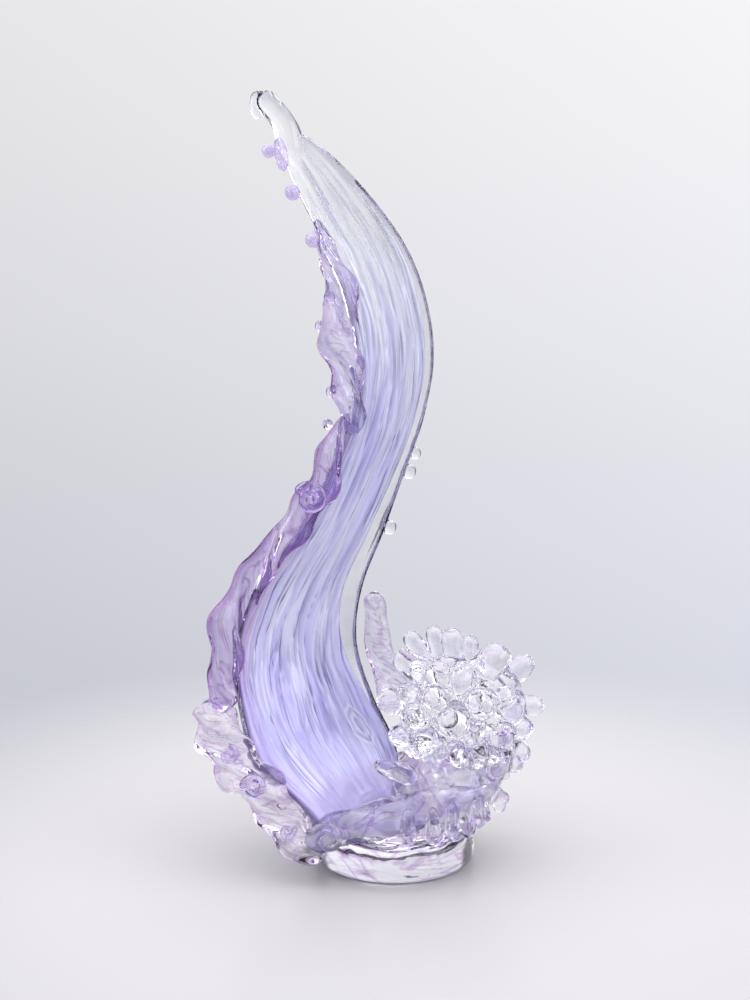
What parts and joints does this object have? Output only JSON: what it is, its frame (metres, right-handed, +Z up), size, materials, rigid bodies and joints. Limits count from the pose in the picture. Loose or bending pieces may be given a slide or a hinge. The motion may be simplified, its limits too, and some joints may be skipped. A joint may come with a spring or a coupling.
{
  "type": "glass wave sculpture",
  "caption": "Clear and violet hot-worked glass wave on a thick round foot, with a fluted core, a rolled frill, a foam rim and a spray of drawn prongs at its low right side",
  "frame": {"origin": "on the table plane, at the middle of the round foot's underside", "axes": "+Z up from the table, +X towards the spray at the low right side, -Y towards the viewer of the fluted front"},
  "size_m": [0.2587, 0.1339, 0.5599],
  "materials": {
    "clear_glass": "fire-polished clear glass",
    "pale_glass": "fire-polished clear glass with violet threads",
    "violet_glass": "fire-polished violet glass"
  },
  "bodies": {
    "root": {"foot": "clear_glass", "base_gather": "clear_glass", "violet_core": "violet_glass", "clear_casing": "clear_glass", "crest_tip": "clear_glass", "crest_beads": "violet_glass", "shoulder_trail": "pale_glass", "violet_frill": "violet_glass", "frill_loop": "violet_glass", "left_beads": "violet_glass", "right_beads": "clear_glass", "rear_fin": "pale_glass", "foam_rim": "pale_glass", "foam_scrolls": "violet_glass", "marbled_swell": "pale_glass", "front_lip": "pale_glass", "front_scroll": "clear_glass", "hanging_drops": "pale_glass", "spray_mound": "clear_glass", "spray_crown": "clear_glass", "spray_front": "pale_glass", "spray_outer": "clear_glass", "spray_rear": "clear_glass"}
  },
  "joints": []
}
